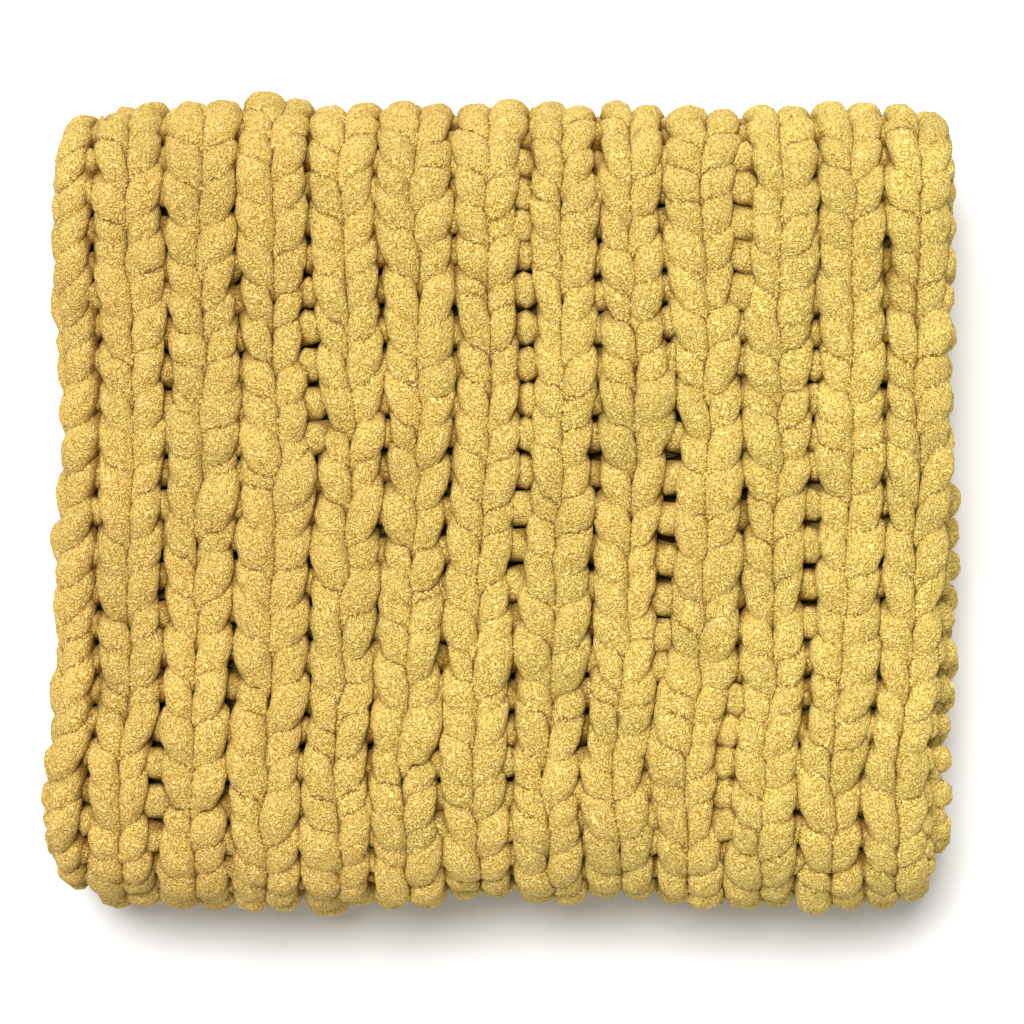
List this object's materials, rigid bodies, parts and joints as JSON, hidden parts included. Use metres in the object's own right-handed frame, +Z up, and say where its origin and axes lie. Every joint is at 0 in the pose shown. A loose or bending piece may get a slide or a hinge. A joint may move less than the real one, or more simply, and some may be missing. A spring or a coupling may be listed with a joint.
{
  "type": "folded chunky knit blanket",
  "caption": "Chunky knit throw blanket in mustard chenille, stockinette, folded in half and then in thirds; lies flat on a surface",
  "frame": {"origin": "the middle of the underside of the folded blanket, on the surface it lies on", "axes": "+X to the side where the cloth's edges lie open, away from the half fold; +Y to the narrower bend, the far edge; +Z up"},
  "size_m": [0.589, 0.525, 0.18],
  "materials": {
    "chenille": "matte mustard chenille with a short soft pile"
  },
  "bodies": {
    "root": {"blanket": "chenille"}
  },
  "joints": []
}
